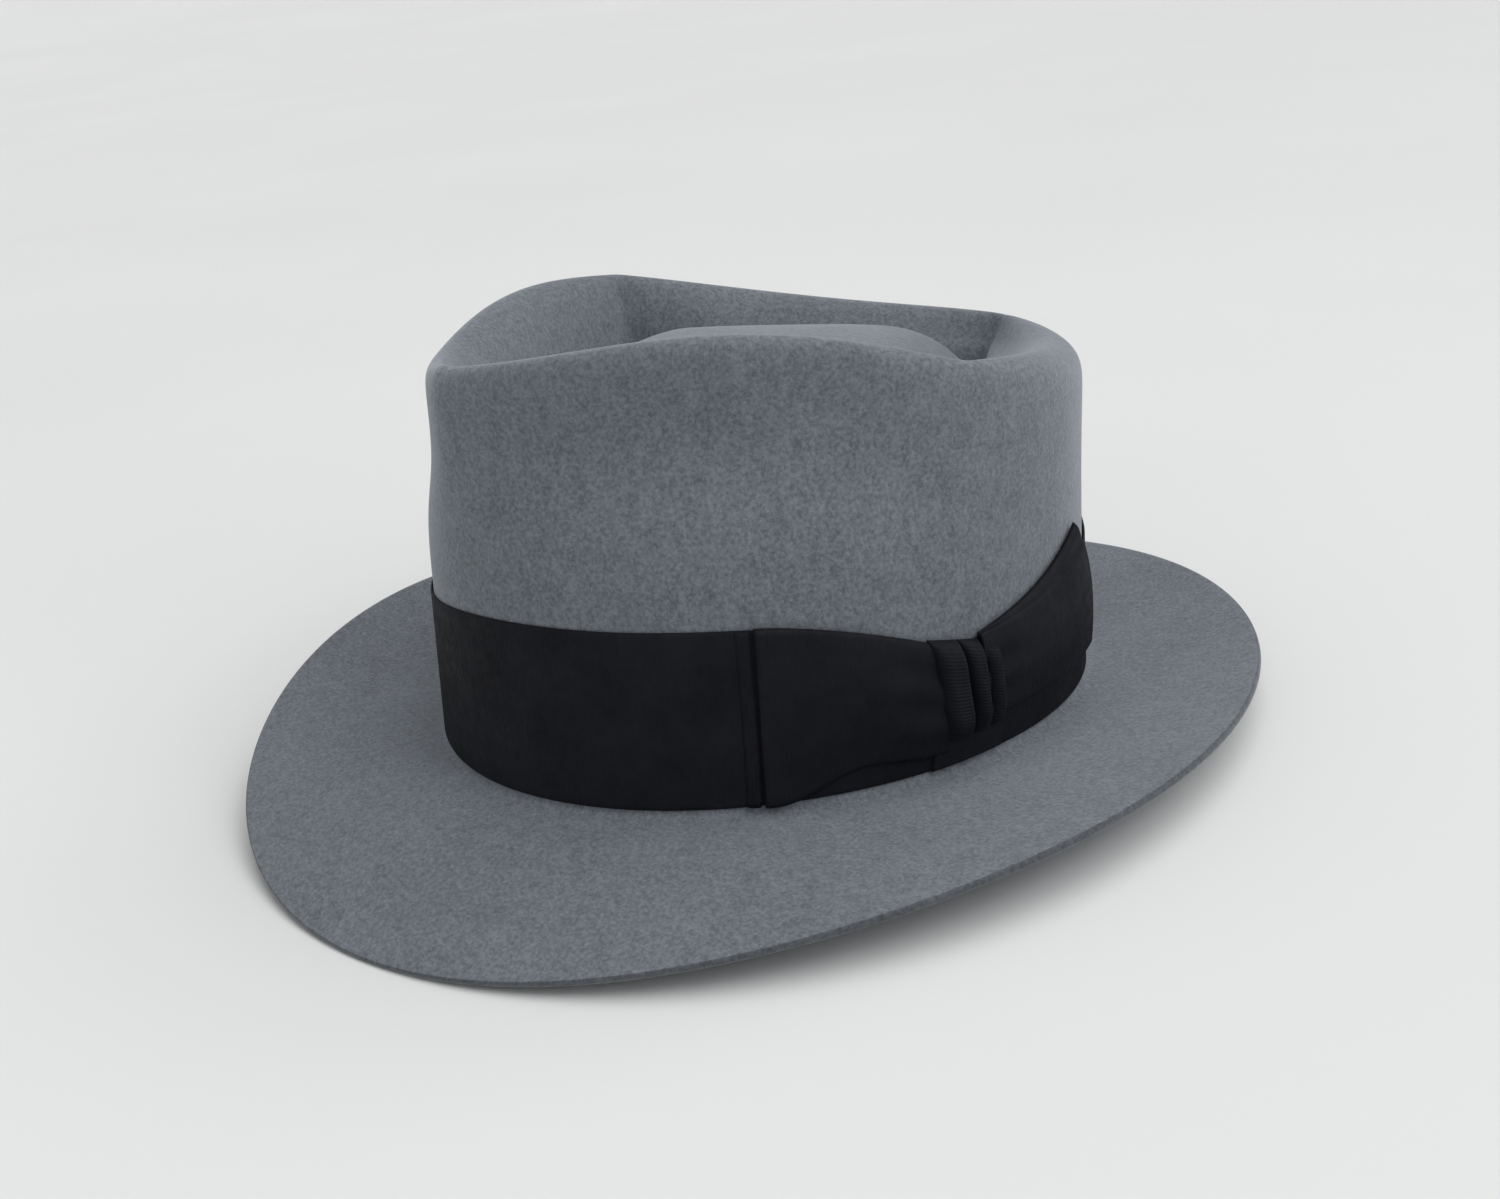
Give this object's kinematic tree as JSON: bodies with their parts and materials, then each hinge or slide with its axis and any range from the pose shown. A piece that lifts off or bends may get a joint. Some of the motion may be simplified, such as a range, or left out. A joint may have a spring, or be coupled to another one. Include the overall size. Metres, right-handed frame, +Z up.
{
  "type": "felt fedora hat",
  "caption": "Soft grey felt fedora with a diamond-creased crown, wide ribbed ribbon, side bow, snap brim, leather sweatband and satin lining.",
  "frame": {"origin": "the point on the standing surface under the middle of the hat's outline", "axes": "+Z up as the hat stands on its brim, front of the hat towards -Y, the bow on the wearer's left towards +X"},
  "size_m": [0.2916, 0.317, 0.1384],
  "materials": {
    "felt": "matte fur felt with a fine suede-like nap and light mottling",
    "ribbon": "black grosgrain with fine upright ribs, matte with a faint sheen",
    "sweatband_leather": "smooth brown leather, satin, with a stitched lower edge",
    "reed_strip": "dark taped edging strip",
    "label": "blank off-white woven label",
    "lining": "grey satin with a soft sheen"
  },
  "bodies": {
    "root": {"felt_body": "felt", "ribbon_band": "ribbon", "bow_front_wing": "ribbon", "bow_rear_wing": "ribbon", "bow_knot": "ribbon", "sweatband": "sweatband_leather", "sweatband_reed": "reed_strip", "sweatband_seam_tape": "sweatband_leather", "sweatband_bow": "ribbon", "size_label": "label", "lining_side": "lining", "lining_tip": "lining", "lining_piping": "lining"}
  },
  "joints": []
}
